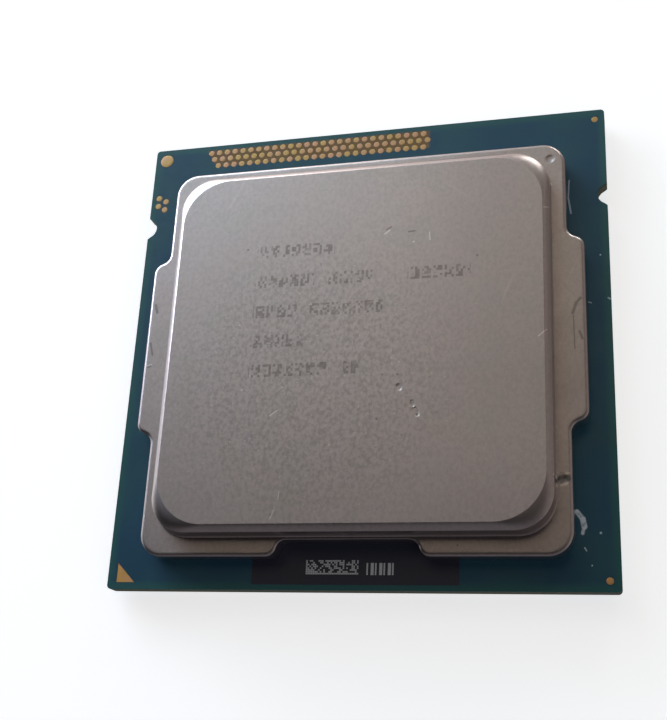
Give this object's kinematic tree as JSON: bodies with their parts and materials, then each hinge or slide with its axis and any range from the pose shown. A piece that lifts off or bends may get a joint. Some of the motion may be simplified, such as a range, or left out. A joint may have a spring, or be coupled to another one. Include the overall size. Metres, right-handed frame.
{
  "type": "processor",
  "caption": "Square land-grid processor package with a raised satin-metal lid, side ears, key notches and gold contact lands underneath.",
  "frame": {"origin": "centre of the square substrate on its underside, the plane in which it seats on a socket", "axes": "+Z from the contact lands towards the lid; +Y towards the edge with the long row of round test pads and the two key notches; +X to the right seen from above with +Y up"},
  "size_m": [0.0376, 0.0376, 0.0049],
  "materials": {
    "laminate": "glass-fibre epoxy, resin gloss on the cut edges",
    "build_up": "epoxy film dielectric",
    "copper": "plain copper",
    "solder_mask": "dark teal semi-gloss solder mask",
    "black_ink": "black printed panel",
    "grey_ink": "grey printed cells",
    "gold_pad": "thin gold over nickel on copper",
    "nickel_lid": "satin nickel plate on stamped copper, fine grain, scuffed",
    "silicone": "black silicone sealant",
    "paste": "grey thermal paste",
    "silicon": "bare silicon, mirror-ground back",
    "solder": "tin-silver solder",
    "underfill": "dark epoxy underfill",
    "ceramic": "sintered tan ceramic",
    "tin": "matte tin-plated end caps"
  },
  "bodies": {
    "root": {"core_laminate": "laminate", "core_vias": "copper", "upper_copper_plane": "copper", "lower_copper_plane": "copper", "upper_build_up": "build_up", "lower_build_up": "build_up", "upper_solder_mask": "solder_mask", "lower_solder_mask": "solder_mask", "marking_panel": "black_ink", "traceability_cells": "grey_ink", "orientation_triangle": "gold_pad", "large_fiducial": "gold_pad", "small_fiducials": "gold_pad", "rear_test_pads": "gold_pad", "left_test_pads": "gold_pad", "front_lands": "gold_pad", "rear_lands": "gold_pad", "left_lands": "gold_pad", "right_lands": "gold_pad", "heat_spreader": "nickel_lid", "lid_adhesive": "silicone", "thermal_paste": "paste", "silicon_die": "silicon", "solder_bumps": "solder", "underfill": "underfill", "large_capacitor_bodies": "ceramic", "large_capacitor_terminals": "tin", "large_capacitor_solder": "solder", "large_capacitor_pads": "gold_pad", "small_capacitor_bodies": "ceramic", "small_capacitor_terminals": "tin", "small_capacitor_solder": "solder", "small_capacitor_pads": "gold_pad"}
  },
  "joints": []
}
